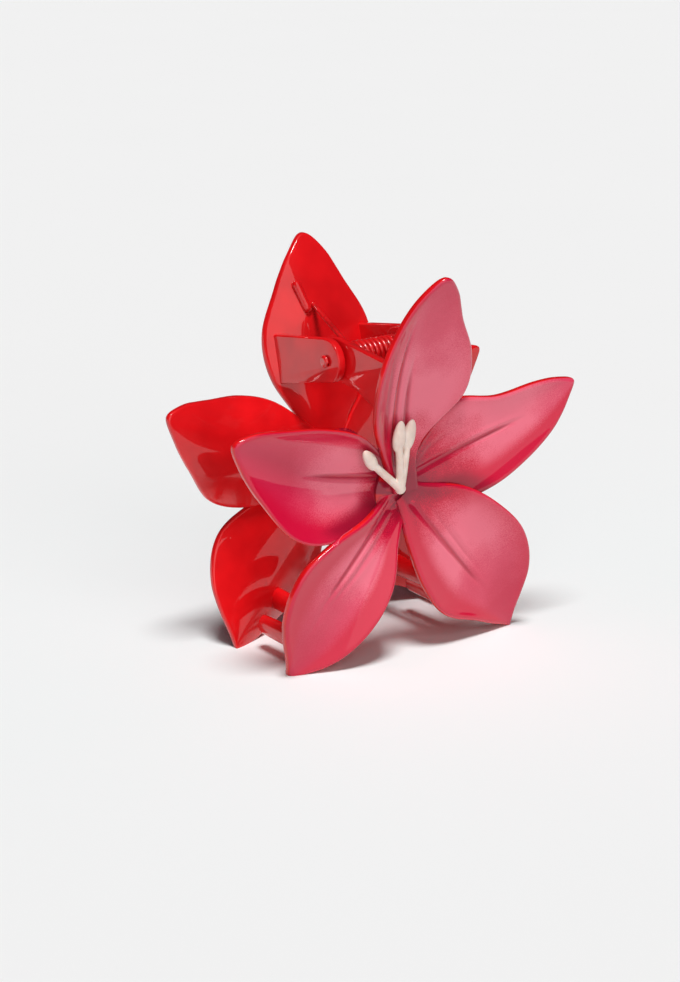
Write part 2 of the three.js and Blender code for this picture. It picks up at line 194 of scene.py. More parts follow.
@dataclass(frozen=True)
class AirbrushedAbs:
    """Glossy red ABS, airbrushed with pearl pink on its outer faces and dipped in clear lacquer.

    The lacquer gives mirror-sharp reflections over a soft powdery pink, and the red shows bare on
    the inner faces, the teeth and the ears, with a little overspray on the rims.
    """

    name: str = "airbrushed_abs"
    abs_red: str = "#EA1118"
    abs_deep: str = "#D40A12"
    crimson: str = "#CF0436"
    heart: str = "#940A2C"
    # painted shade colour for the vein grooves
    groove_shade: str = "#B00C34"
    pink: str = "#EE6C82"
    blush: str = "#DC4260"
    rose: str = "#CC1A44"
    spray_grain: float = 0.22  # mm between dots of paint; real mist is finer and wouldn't show
    cloud: float = 9.0  # mm across the soft clouds in the spray
    peel: float = 5.0  # mm across the faint waves of the dipped lacquer
    peel_height: float = 0.012  # mm
    lacquer_ior: float = 1.5
    paint_roughness: float = 0.45
    paint_gloss: float = 0.15  # specular level of the paint, which the lacquer wets out
    lacquer_roughness: float = 0.03
    speck: float = 0.05  # how far a dot of paint strays along the petal's colours
    drift: float = 0.07  # how far a cloud does
    mist: float = 0.35  # how much the dots break up the edge of the spray
    mist_start: float = 0.3  # the paint value where the spray begins to cover the red
    margin: Coat = Coat(0.2, 0.95, 2.0)  # crimson along a petal's edges
    crease_shade_coat: Coat = Coat(0.1, 0.9, 1.5)  # painted shade: heart colour in the crease beside a higher petal
    groove_shade_coat: Coat = Coat(0.15, 0.8)  # painted shade: a darker red down in the vein grooves

    def material(self) -> bpy.types.Material:
        """Builds the node material.

        Returns:
            The material, which reads its mesh's attributes paint, along, across, shade and groove.
        """
        material, tree = new_material(self.name)
        place = add_node(tree, "ShaderNodeTexCoord").outputs["Object"]
        paint = add_node(tree, "ShaderNodeAttribute", attribute_name="paint").outputs["Fac"]
        colour = add_node(tree, "ShaderNodeMix", {
            "Factor": self.overspray(tree, place, paint),
            "A": self.bare_red(tree, place),
            "B": self.spray(tree, place),
        }, data_type="RGBA")
        peel = add_node(tree, "ShaderNodeTexNoise", {
            "Vector": place,
            "Scale": per_mm(self.peel),
            "Detail": 1.0,
        })
        wave = add_node(tree, "ShaderNodeBump", {
            "Height": peel.outputs["Fac"],
            "Distance": self.peel_height * MM,
            "Strength": 1.0,
        })
        shader = add_node(tree, "ShaderNodeBsdfPrincipled", {
            "Base Color": colour.outputs["Result"],
            "Roughness": self.paint_roughness,
            "Specular IOR Level": self.paint_gloss,
            "IOR": self.lacquer_ior,
            "Coat Weight": 1.0,
            "Coat Roughness": self.lacquer_roughness,
            "Coat IOR": self.lacquer_ior,
            "Normal": wave.outputs["Normal"],
            "Coat Normal": wave.outputs["Normal"],
        })
        add_node(tree, "ShaderNodeOutputMaterial", {"Surface": shader.outputs["BSDF"]})
        return material

    def bare_red(self, tree: bpy.types.NodeTree, place: bpy.types.NodeSocket) -> bpy.types.NodeSocket:
        """Colour of the moulded ABS, with the faint flow clouds of a moulding.

        Args:
            tree: The material's tree.
            place: The object coordinates.

        Returns:
            The colour.
        """
        flow = add_node(tree, "ShaderNodeTexNoise", {
            "Vector": place,
            "Scale": per_mm(self.cloud),
            "Detail": 2.0,
        })
        ramp = add_node(tree, "ShaderNodeValToRGB", {"Fac": flow.outputs["Fac"]})
        return set_ramp(ramp, [(0.35, self.abs_deep), (0.65, self.abs_red)])

    def overspray(
        self, tree: bpy.types.NodeTree, place: bpy.types.NodeSocket, paint: bpy.types.NodeSocket
    ) -> bpy.types.NodeSocket:
        """How much paint covers the red, broken up by mist at its soft edge.

        Args:
            tree: The material's tree.
            place: The object coordinates.
            paint: The mesh's paint, 1 on an outer face and 0 on the bare red.

        Returns:
            A factor from 0, bare, to 1, covered.
        """
        mist = add_node(tree, "ShaderNodeTexNoise", {
            "Vector": place,
            "Scale": per_mm(self.spray_grain),
            "Detail": 1.0,
        })
        misted = add_node(tree, "ShaderNodeMath", {
            0: mist.outputs["Fac"],
            1: self.mist,
            2: paint,
        }, operation="MULTIPLY_ADD")
        edge = add_node(tree, "ShaderNodeMapRange", {
            "Value": misted.outputs["Value"],
            "From Min": self.mist_start,
            "From Max": 1.0,
        }, interpolation_type="SMOOTHSTEP")
        return edge.outputs["Result"]

    def spray(self, tree: bpy.types.NodeTree, place: bpy.types.NodeSocket) -> bpy.types.NodeSocket:
        """Colour of the spray: dark at the heart, pale pink on the petal, crimson at tip and edge, with
        painted shade beside higher petals and in the vein grooves.

        Args:
            tree: The material's tree.
            place: The object coordinates.

        Returns:
            The colour.
        """
        along = add_node(tree, "ShaderNodeAttribute", attribute_name="along").outputs["Fac"]
        across = add_node(tree, "ShaderNodeAttribute", attribute_name="across").outputs["Fac"]
        grain = add_node(tree, "ShaderNodeTexNoise", {
            "Vector": place,
            "Scale": per_mm(self.spray_grain),
            "Detail": 2.0,
        })
        cloud = add_node(tree, "ShaderNodeTexNoise", {
            "Vector": place,
            "Scale": per_mm(self.cloud),
            "Detail": 2.0,
        })
        speck = add_node(tree, "ShaderNodeMapRange", {
            "Value": grain.outputs["Fac"],
            "From Min": NOISE_LOW,
            "From Max": NOISE_HIGH,
            "To Min": -self.speck,
            "To Max": self.speck,
        })
        drift = add_node(tree, "ShaderNodeMapRange", {
            "Value": cloud.outputs["Fac"],
            "From Min": NOISE_LOW,
            "From Max": NOISE_HIGH,
            "To Min": -self.drift,
            "To Max": self.drift,
        })
        soft = add_node(tree, "ShaderNodeMath", {0: along, 1: speck.outputs["Result"]}, operation="ADD")
        reach = add_node(tree, "ShaderNodeMath", {
            0: soft.outputs["Value"],
            1: drift.outputs["Result"],
        }, operation="ADD")
        ramp = add_node(tree, "ShaderNodeValToRGB", {"Fac": reach.outputs["Value"]})
        body = set_ramp(ramp, [
            (0.08, self.heart),
            (0.19, self.crimson),
            (0.35, self.pink),
            (0.52, self.pink),
            (0.68, self.blush),
            (0.92, self.rose),
        ])
        square = add_node(tree, "ShaderNodeMath", {
            0: across,
            1: across,
        }, operation="MULTIPLY").outputs["Value"]
        shade = add_node(tree, "ShaderNodeAttribute", attribute_name="shade").outputs["Fac"]
        groove = add_node(tree, "ShaderNodeAttribute", attribute_name="groove").outputs["Fac"]
        dots = speck.outputs["Result"]
        edged = self.coated(tree, body, self.crimson, self.margin, square, dots)
        # painted shade: heart colour in the creases beside higher petals
        shaded = self.coated(tree, edged, self.heart, self.crease_shade_coat, shade, dots)
        # painted shade: a darker red in the vein grooves
        return self.coated(tree, shaded, self.groove_shade, self.groove_shade_coat, groove, dots)

    def coated(
        self, tree: bpy.types.NodeTree, below: bpy.types.NodeSocket, code: str, coat: Coat,
        value: bpy.types.NodeSocket, dots: bpy.types.NodeSocket,
    ) -> bpy.types.NodeSocket:
        """Lays one more colour over the spray where the mesh asks for it.

        Args:
            tree: The material's tree.
            below: The colour so far.
            code: The new colour as sRGB hex digits.
            coat: How it comes in.
            value: The mesh's value for it.
            dots: The grain of the spray.

        Returns:
            The colour with the coat on it.
        """
        if coat.speckle:
            value = add_node(tree, "ShaderNodeMath", {
                0: dots,
                1: coat.speckle,
                2: value,
            }, operation="MULTIPLY_ADD").outputs["Value"]
        amount = add_node(tree, "ShaderNodeMapRange", {
            "Value": value,
            "From Min": coat.start,
            "From Max": 1.0,
            "To Max": coat.most,
        }, interpolation_type="SMOOTHSTEP")
        return add_node(tree, "ShaderNodeMix", {
            "Factor": amount.outputs["Result"],
            "A": below,
            "B": linear(code),
        }, data_type="RGBA").outputs["Result"]


@dataclass(frozen=True)
class EnamelledSteel:
    """Steel dipped in red stoving enamel, as on the pin and the spring.

    The thick enamel rounds every edge and gives small hard glints, with slight sags in its colour.
    """

    name: str = "enamelled_steel"
    red: str = "#E3141A"
    deep: str = "#B8060E"
    sag: float = 1.4  # mm between runs in the enamel
    sag_height: float = 0.02  # mm
    enamel_ior: float = 1.5
    primer_roughness: float = 0.3
    enamel_roughness: float = 0.05

    def material(self) -> bpy.types.Material:
        """Builds the node material.

        Returns:
            The material.
        """
        material, tree = new_material(self.name)
        place = add_node(tree, "ShaderNodeTexCoord").outputs["Object"]
        runs = add_node(tree, "ShaderNodeTexNoise", {
            "Vector": place,
            "Scale": per_mm(self.sag),
            "Detail": 2.0,
        })
        ramp = add_node(tree, "ShaderNodeValToRGB", {"Fac": runs.outputs["Fac"]})
        colour = set_ramp(ramp, [(0.3, self.deep), (0.55, self.red)])
        bump = add_node(tree, "ShaderNodeBump", {
            "Height": runs.outputs["Fac"],
            "Distance": self.sag_height * MM,
        })
        shader = add_node(tree, "ShaderNodeBsdfPrincipled", {
            "Base Color": colour,
            "Roughness": self.primer_roughness,
            "IOR": self.enamel_ior,
            "Coat Weight": 1.0,
            "Coat Roughness": self.enamel_roughness,
            "Coat IOR": self.enamel_ior,
            "Normal": bump.outputs["Normal"],
            "Coat Normal": bump.outputs["Normal"],
        })
        add_node(tree, "ShaderNodeOutputMaterial", {"Surface": shader.outputs["BSDF"]})
        return material


@dataclass(frozen=True)
class CreamPolypropylene:
    """Matt cream polypropylene, moulded soft-edged and left bare.

    It is slightly translucent, so the pink around it tints its edges, and its gloss is a broad sheen.
    """

    name: str = "cream_polypropylene"
    cream: str = "#F2E0D4"
    shade: str = "#E4CDC0"
    mottle: float = 2.5  # mm
    grain: float = 0.25  # mm, spark-eroded mould texture
    grain_height: float = 0.012  # mm
    ior: float = 1.49
    roughness: float = 0.5
    translucency: float = 0.25
    bleed: tuple[float, float, float] = (1.2, 0.7, 0.5)  # how far red, green and blue light spread
    bleed_reach: float = 0.8  # mm

    def material(self) -> bpy.types.Material:
        """Builds the node material.

        Returns:
            The material.
        """
        material, tree = new_material(self.name)
        place = add_node(tree, "ShaderNodeTexCoord").outputs["Object"]
        mottle = add_node(tree, "ShaderNodeTexNoise", {
            "Vector": place,
            "Scale": per_mm(self.mottle),
            "Detail": 3.0,
        })
        ramp = add_node(tree, "ShaderNodeValToRGB", {"Fac": mottle.outputs["Fac"]})
        colour = set_ramp(ramp, [(0.35, self.shade), (0.65, self.cream)])
        grain = add_node(tree, "ShaderNodeTexNoise", {
            "Vector": place,
            "Scale": per_mm(self.grain),
            "Detail": 2.0,
        })
        bump = add_node(tree, "ShaderNodeBump", {
            "Height": grain.outputs["Fac"],
            "Distance": self.grain_height * MM,
        })
        shader = add_node(tree, "ShaderNodeBsdfPrincipled", {
            "Base Color": colour,
            "Roughness": self.roughness,
            "IOR": self.ior,
            "Subsurface Weight": self.translucency,
            "Subsurface Radius": self.bleed,
            "Subsurface Scale": self.bleed_reach * MM,
            "Normal": bump.outputs["Normal"],
        })
        add_node(tree, "ShaderNodeOutputMaterial", {"Surface": shader.outputs["BSDF"]})
        return material


@dataclass(frozen=True)
class StudioFloor:
    """Matt white paper rolled out flat, with no shine of its own and a painted cool tint under the clip that
    cancels the clip's red glow.
    """

    name: str = "studio_paper"
    paper: str = "#F1F1F1"
    paper_cloud: str = "#F0F0F0"
    red_glow_counter_tint: str = "#EEF3F3"  # painted cool tint under the clip, which cancels the red glow the clip throws on the paper
    red_glow_counter_reach: float = 0.22  # metres from the middle to where the painted cool tint has faded and the sheet is plain white
    cloud: float = 60.0  # mm between the soft clouds of the sheet
    roughness: float = 0.9

    def material(self) -> bpy.types.Material:
        """Builds the node material.

        Returns:
            The material.
        """
        material, tree = new_material(self.name)
        place = add_node(tree, "ShaderNodeTexCoord").outputs["Object"]
        cloud = add_node(tree, "ShaderNodeTexNoise", {"Vector": place, "Scale": per_mm(self.cloud)})
        ramp = add_node(tree, "ShaderNodeValToRGB", {"Fac": cloud.outputs["Fac"]})
        sheet = set_ramp(ramp, [(0.0, self.paper_cloud), (1.0, self.paper)])
        around = add_node(tree, "ShaderNodeMapping", {"Vector": place, "Scale": (1 / self.red_glow_counter_reach,) * 3})
        # painted cool tint against the clip's red glow, fading out from the middle
        glow_counter_fade = add_node(tree, "ShaderNodeTexGradient", {
            "Vector": around.outputs["Vector"],
        }, gradient_type="QUADRATIC_SPHERE")
        colour = add_node(tree, "ShaderNodeMix", {
            "Factor": glow_counter_fade.outputs["Fac"],
            "A": sheet,
            "B": linear(self.red_glow_counter_tint),
        }, data_type="RGBA").outputs["Result"]
        shader = add_node(tree, "ShaderNodeBsdfPrincipled", {
            "Base Color": colour,
            "Roughness": self.roughness,
            "Specular IOR Level": 0.0,
        })
        add_node(tree, "ShaderNodeOutputMaterial", {"Surface": shader.outputs["BSDF"]})
        return material


# ------------------------------------------------------------------ meshes


def mesh_object(name: str, points: np.ndarray, faces: Sequence[Sequence[int]]) -> bpy.types.Object:
    """Makes an object from points in millimetres, with its faces turned outwards.

    Args:
        name: The object's name.
        points: One row of x, y and z for each vertex, with x from the middle of the pin.
        faces: The vertices of each face.

    Returns:
        The new object, in metres in the frame of the CAD model.
    """
    placed = np.asarray(points, float) * MM
    placed[:, 0] += PIN_MIDDLE
    mesh = bpy.data.meshes.new(name)
    mesh.from_pydata(placed.tolist(), [], [list(face) for face in faces])
    work = bmesh.new()
    work.from_mesh(mesh)
    bmesh.ops.recalc_face_normals(work, faces=work.faces)
    work.to_mesh(mesh)
    work.free()
    piece = bpy.data.objects.new(name, mesh)
    bpy.context.scene.collection.objects.link(piece)
    return piece


def apply_modifiers(piece: bpy.types.Object) -> None:
    """Puts the result of an object's modifiers into its mesh.

    Args:
        piece: The object.
    """
    graph = bpy.context.evaluated_depsgraph_get()
    mesh = bpy.data.meshes.new_from_object(piece.evaluated_get(graph))
    piece.modifiers.clear()
    piece.data = mesh


def combine(base: bpy.types.Object, tools: Sequence[bpy.types.Object], join: Join) -> None:
    """Joins solids onto a solid, or cuts them out of it, and removes them.

    Args:
        base: The solid that changes.
        tools: The solids to join or cut.
        join: Which of the two is done.
    """
    for tool in tools:
        modifier = base.modifiers.new("combine", "BOOLEAN")
        modifier.operation = join.value
        modifier.solver = "MANIFOLD"
        modifier.object = tool
    apply_modifiers(base)
    for tool in tools:
        bpy.data.objects.remove(tool)


def mirror_to_front(piece: bpy.types.Object) -> None:
    """Mirrors a piece from its place on the back half to its place on the front half."""
    piece.data.transform(Matrix.Scale(-1, 4, (0, 1, 0)))
    piece.data.flip_normals()


def finish_surface(piece: bpy.types.Object, material: bpy.types.Material) -> None:
    """Gives a piece its one material and smooth shading with crisp edges.

    Args:
        piece: The piece.
        material: Its finish.
    """
    mesh = piece.data
    mesh.materials.clear()
    mesh.materials.append(material)
    mesh.shade_smooth()
    mesh.set_sharp_from_angle(angle=SMOOTH_ANGLE)


def ring_faces(rings: int, sides: int) -> list[list[int]]:
    """Faces of a closed body made of rings of points between two end points.

    Args:
        rings: How many rings it has.
        sides: Points in each ring.

    Returns:
        The faces, where the end points are the first and the last point.
    """
    last = 1 + rings * sides
    faces = []
    for k in range(sides):
        step = (k + 1) % sides
        faces.append([0, 1 + k, 1 + step])
        for ring in range(rings - 1):
            low = 1 + ring * sides
            faces.append([low + k, low + sides + k, low + sides + step, low + step])
        faces.append([last, last - sides + step, last - sides + k])
    return faces


def turned_points(profile: Sequence[tuple[float, float]], sides: int) -> tuple[np.ndarray, list[list[int]]]:
    """Turns a profile of (radius, height) about Z into a closed body.

    Args:
        profile: The profile from the axis at one end to the axis at the other.
        sides: Steps round the body.

    Returns:
        The points and the faces.
    """
    turns = np.linspace(0, 2 * math.pi, sides, endpoint=False)
    points = [(0.0, 0.0, profile[0][1])]
    for radius, height in profile[1:-1]:
        points.extend((radius * math.cos(a), radius * math.sin(a), height) for a in turns)
    points.append((0.0, 0.0, profile[-1][1]))
    return np.array(points), ring_faces(len(profile) - 2, sides)


def laid_deep(points: np.ndarray) -> np.ndarray:
    """Lays a body turned about Z along Y, so that its heights become depths."""
    return points[:, [0, 2, 1]]


def laid_on_pin(points: np.ndarray) -> np.ndarray:
    """Lays a body turned about Z along the middle line of the pin."""
    return points[:, [2, 0, 1]] + (0, 0, PIN_HEIGHT)


def tube_points(line: np.ndarray, radii: np.ndarray, sides: int) -> tuple[np.ndarray, list[list[int]]]:
    """Sweeps a round section along a line and rounds off its ends.

    Args:
        line: The points of the centre line.
        radii: The radius at each of them.
        sides: Steps round the section.

    Returns:
        The points and the faces.
    """
    tangents = np.gradient(line, axis=0)
    tangents /= np.linalg.norm(tangents, axis=1)[:, None]
    cap = [(math.sin(a), math.cos(a)) for a in (math.pi / 8, math.pi / 4, 3 * math.pi / 8)]
    centres = [line[0] - tangents[0] * radii[0] * c for _, c in cap] + list(line)
    centres += [line[-1] + tangents[-1] * radii[-1] * c for _, c in reversed(cap)]
    sizes = [radii[0] * s for s, _ in cap] + list(radii) + [radii[-1] * s for s, _ in reversed(cap)]
    ways = [tangents[0]] * len(cap) + list(tangents) + [tangents[-1]] * len(cap)
    side = np.cross(ways[0], (0.31, 0.42, 0.85))  # square to the line, and any such way will do
    turns = np.linspace(0, 2 * math.pi, sides, endpoint=False)
    points = [line[0] - tangents[0] * radii[0]]
    for centre, size, way in zip(centres, sizes, ways):
        side = side - way * np.dot(side, way)
        side /= np.linalg.norm(side)
        other = np.cross(way, side)
        points.extend(centre + size * (side * math.cos(a) + other * math.sin(a)) for a in turns)
    points.append(line[-1] + tangents[-1] * radii[-1])
    return np.array(points), ring_faces(len(centres), sides)


# ------------------------------------------------------------------ petals


def smoothstep(low: float, high: float, value: np.ndarray) -> np.ndarray:
    """Rises smoothly from 0 at low to 1 at high."""
    part = np.clip((value - low) / (high - low), 0, 1)
    return part * part * (3 - 2 * part)


def between(values: Sequence[float], s: np.ndarray) -> np.ndarray:
    """Smooth value at part s of the way through a list of evenly spaced values.

    Args:
        values: The values that the curve goes through.
        s: Parts of the way, from 0 to 1.

    Returns:
        One value for each part.
    """
    known = np.asarray(values, float)
    last = len(known) - 1
    i = np.minimum(np.floor(s * last).astype(int), last - 1)
    t = s * last - i
    here, there = known[i], known[i + 1]
    leave = (there - known[np.maximum(i - 1, 0)]) / 2
    arrive = (known[np.minimum(i + 2, last)] - here) / 2
    cubic = 2 * here - 2 * there + leave + arrive
    square = -3 * here + 3 * there - 2 * leave - arrive
    return ((cubic * t + square) * t + leave) * t + here


def rounded_off(rim: np.ndarray, radius: float) -> np.ndarray:
    """How much a round edge takes off a face at each distance from the rim."""
    inset = radius - np.minimum(rim, radius)
    return radius - np.sqrt(radius ** 2 - inset ** 2)


@dataclass(frozen=True)
class Vein:
    """A groove pressed into a petal's outer face, in millimetres and parts of the petal's length."""

    start: float
    end: float
    offsets: tuple[float, float, float]  # from the mid rib at its start, middle and end
    depth: float = 0.42
    width: float = 0.95

    TAPER: ClassVar[float] = 0.55  # how much narrower it is at its end
    RUN_IN: ClassVar[float] = 0.05
    RUN_OUT: ClassVar[float] = 0.22
    LIP_RISE: ClassVar[float] = 0.35  # in parts of the depth
    LIP_PLACE: ClassVar[float] = 1.7  # in parts of the width

    def cut(self, s: np.ndarray, b: np.ndarray) -> np.ndarray:
        """Depth of the groove, less than zero on the lip beside it.

        Args:
            s: Parts of the petal's length.
            b: Distances from the mid rib.

        Returns:
            The depth at each place.
        """
        part = np.clip((s - self.start) / (self.end - self.start), 0, 1)
        first, middle, last = self.offsets
        line = first * (1 - part) * (1 - 2 * part) + middle * 4 * part * (1 - part)
        line = line + last * part * (2 * part - 1)
        u = (b - line) / (self.width * (1 - self.TAPER * part))
        fade = smoothstep(self.end, self.end - self.RUN_OUT, s)
        fade = fade * smoothstep(self.start - self.RUN_IN, self.start + self.RUN_IN, s)
        return self.depth * fade * (np.exp(-u * u) - self.LIP_RISE * np.exp(-(u - self.LIP_PLACE) ** 2))


@dataclass(frozen=True)
class Petal:
    """One petal of the back half; lengths in millimetres, its angle in degrees from +X."""

    angle: float
    length: float
    root: float  # depth of its mid rib from the hinge plane at the middle of the flower
    tip: float
    bow: float
    anticlockwise: tuple[float, ...]  # half widths at each fifth of the length
    clockwise: tuple[float, ...]
    curl: tuple[float, float]  # rise of each side at the curl reach
    dish: float = 0.0  # how deep the petal is hollowed between its edges
    spray_pace: float = 1.0  # how early the pink runs out into crimson
    margins: tuple[float, float] = (1.0, 1.0)  # how broad the crimson is along each edge
    veins: tuple[Vein, ...] = ()

    ROOT_HALF_WIDTH: ClassVar[float] = 3.0
    TIP_HALF_WIDTH: ClassVar[float] = 0.2
    ROUND_START: ClassVar[float] = 0.88  # part of the length where the tip starts to round off
    CURL_REACH: ClassVar[float] = 12.0  # from the mid rib to where an edge has risen by its curl
    ROLL_LIMIT: ClassVar[float] = 0.45  # the most of a narrow tip's width that one rolled rim takes
    VEIN_EDGE: ClassVar[float] = 1.2  # the veins fade out this far from the rolled rim
    BODY_ROWS: ClassVar[int] = 84
    TIP_ROWS: ClassVar[int] = 14
    INNER_COLUMNS: ClassVar[int] = 62
    RIM_COLUMNS: ClassVar[int] = 7
    OUTLINE_STEPS: ClassVar[int] = 240

    def edges(self, s: np.ndarray) -> tuple[np.ndarray, np.ndarray]:
        """Places of the two edges, the tip rounded about the middle between them.

        Args:
            s: Parts of the petal's length.

        Returns:
            Distances across from the mid rib to the clockwise edge, under zero, and to the other.
        """
        low = -between([self.ROOT_HALF_WIDTH, *self.clockwise], s)
        high = between([self.ROOT_HALF_WIDTH, *self.anticlockwise], s)
        past = np.clip((s - self.ROUND_START) / (1 - self.ROUND_START), 0, 1)
        middle = (low + high) / 2
        half = np.maximum((high - low) / 2 * np.sqrt(1 - past * past), self.TIP_HALF_WIDTH)
        return middle - half, middle + half

    def depth(self, s: np.ndarray, b: np.ndarray) -> np.ndarray:
        """Depth of the middle of the wall from the hinge plane.

        Args:
            s: Parts of the petal's length.
            b: Distances from the mid rib.

        Returns:
            The depths.
        """
        rib = self.root + (self.tip - self.root) * s + self.bow * 4 * s * (1 - s)
        curl = np.where(b > 0, self.curl[0], self.curl[1])
        low, high = self.edges(np.clip(s, 0, 1))
        part = np.minimum(b / np.where(b > 0, high, low), 1)
        hollow = self.dish * 4 * s * (1 - s) * (1 - part * part)
        return rib + curl * (b / self.CURL_REACH) ** 2 - hollow

    def local(self, x: np.ndarray, z: np.ndarray) -> tuple[np.ndarray, np.ndarray]:
        """Where places of the flower lie on the petal.

        Args:
            x: Places from the middle of the flower.
            z: Their heights.

        Returns:
            Parts of the petal's length and distances from its mid rib.
        """
        angle = math.radians(self.angle)
        up = z - CENTRE_HEIGHT
        along = x * math.cos(angle) + up * math.sin(angle)
        across = -x * math.sin(angle) + up * math.cos(angle)
        return along / self.length, across

    def depth_over(self, x: float, z: float) -> float:
        """Depth of the middle of the wall at a place of the flower."""
        s, b = self.local(np.array([x]), np.array([z]))
        return float(self.depth(s, b)[0])

    def rim_distance(self, s: np.ndarray, b: np.ndarray) -> np.ndarray:
        """Distance of each place from the petal's outline, its root end left out.

        Args:
            s: Parts of the petal's length.
            b: Distances from the mid rib.

        Returns:
            The distances in millimetres.
        """
        body = np.linspace(0, self.ROUND_START, self.OUTLINE_STEPS, endpoint=False)
        turn = np.linspace(0, math.pi / 2, self.OUTLINE_STEPS // 4)
        steps = np.concatenate([body, self.ROUND_START + (1 - self.ROUND_START) * np.sin(turn)])
        low, high = self.edges(steps)
        one = np.column_stack([steps * self.length, high])
        two = np.column_stack([steps * self.length, low])
        outline = np.concatenate([one, two[::-1]])
        start, way = outline[:-1], np.diff(outline, axis=0)
        square = np.maximum((way ** 2).sum(1), 1e-12)
        places = np.column_stack([s.ravel() * self.length, b.ravel()])
        nearest = np.full(len(places), np.inf)
        for base, step, size in zip(start, way, square):
            part = np.clip(((places - base) @ step) / size, 0, 1)
            away = places - base - part[:, None] * step
            nearest = np.minimum(nearest, (away ** 2).sum(1))
        return np.sqrt(nearest).reshape(s.shape)

    def grid(self) -> tuple[np.ndarray, np.ndarray]:
        """Places of the mesh over the petal.

        Returns:
            Parts of the length and distances from the mid rib, as two arrays of rows by columns.
        """
        turn = np.linspace(0, math.pi / 2, self.TIP_ROWS + 1)[1:]
        rows = np.concatenate([
            np.linspace(0, self.ROUND_START, self.BODY_ROWS + 1),
            self.ROUND_START + (1 - self.ROUND_START) * np.sin(turn),
        ])
        low, high = self.edges(rows)
        rim = np.sin(np.linspace(0, math.pi / 2, self.RIM_COLUMNS + 1)[1:])
        round_off = np.minimum(ROLL_RADIUS, self.ROLL_LIMIT * (high - low))
        inner = np.linspace(0, 1, self.INNER_COLUMNS + 1)
        first, last = low + round_off, high - round_off
        flat = first[:, None] * (1 - inner) + last[:, None] * inner
        left = first[:, None] - round_off[:, None] * rim[::-1]
        right = last[:, None] + round_off[:, None] * rim
        across = np.concatenate([left, flat, right], axis=1)
        return np.repeat(rows[:, None], across.shape[1], axis=1), across

    def solid(self, name: str) -> bpy.types.Object:
        """Builds the petal as a closed wall with round rims and its veins.

        Args:
            name: The object's name.

        Returns:
            The petal, in the place of the back half.
        """
        s, b = self.grid()
        rim = self.rim_distance(s, b)
        inner_half = WALL / 2 - rounded_off(rim, RIM_RADIUS)
        outer_half = WALL / 2 - rounded_off(rim, ROLL_RADIUS)
        groove = sum((vein.cut(s, b) for vein in self.veins), np.zeros_like(s))
        groove *= smoothstep(ROLL_RADIUS, ROLL_RADIUS + self.VEIN_EDGE, rim)
        middle = self.depth(s, b)
        angle = math.radians(self.angle)
        x = s * self.length * math.cos(angle) - b * math.sin(angle)
        z = CENTRE_HEIGHT + s * self.length * math.sin(angle) + b * math.cos(angle)
        inner = np.stack([x, middle - inner_half, z], axis=-1).reshape(-1, 3)
        outer = np.stack([x, middle + outer_half - groove, z], axis=-1).reshape(-1, 3)
        rows, wide = s.shape
        sheet = rows * wide
        faces = []
        for i in range(rows - 1):
            for j in range(wide - 1):
                k = i * wide + j
                faces.append([k, k + wide, k + wide + 1, k + 1])
                faces.append([sheet + k, sheet + k + 1, sheet + k + wide + 1, sheet + k + wide])
            for k, step in ((i * wide, 1), ((i + 1) * wide - 1, -1)):
                wall = [k, sheet + k, sheet + k + wide, k + wide]
                faces.append(wall[::step])
        for j in range(wide - 1):
            k = (rows - 1) * wide + j
            faces.append([j, j + 1, sheet + j + 1, sheet + j])
            faces.append([k, sheet + k, sheet + k + 1, k + 1])
        return mesh_object(name, np.concatenate([inner, outer]), faces)


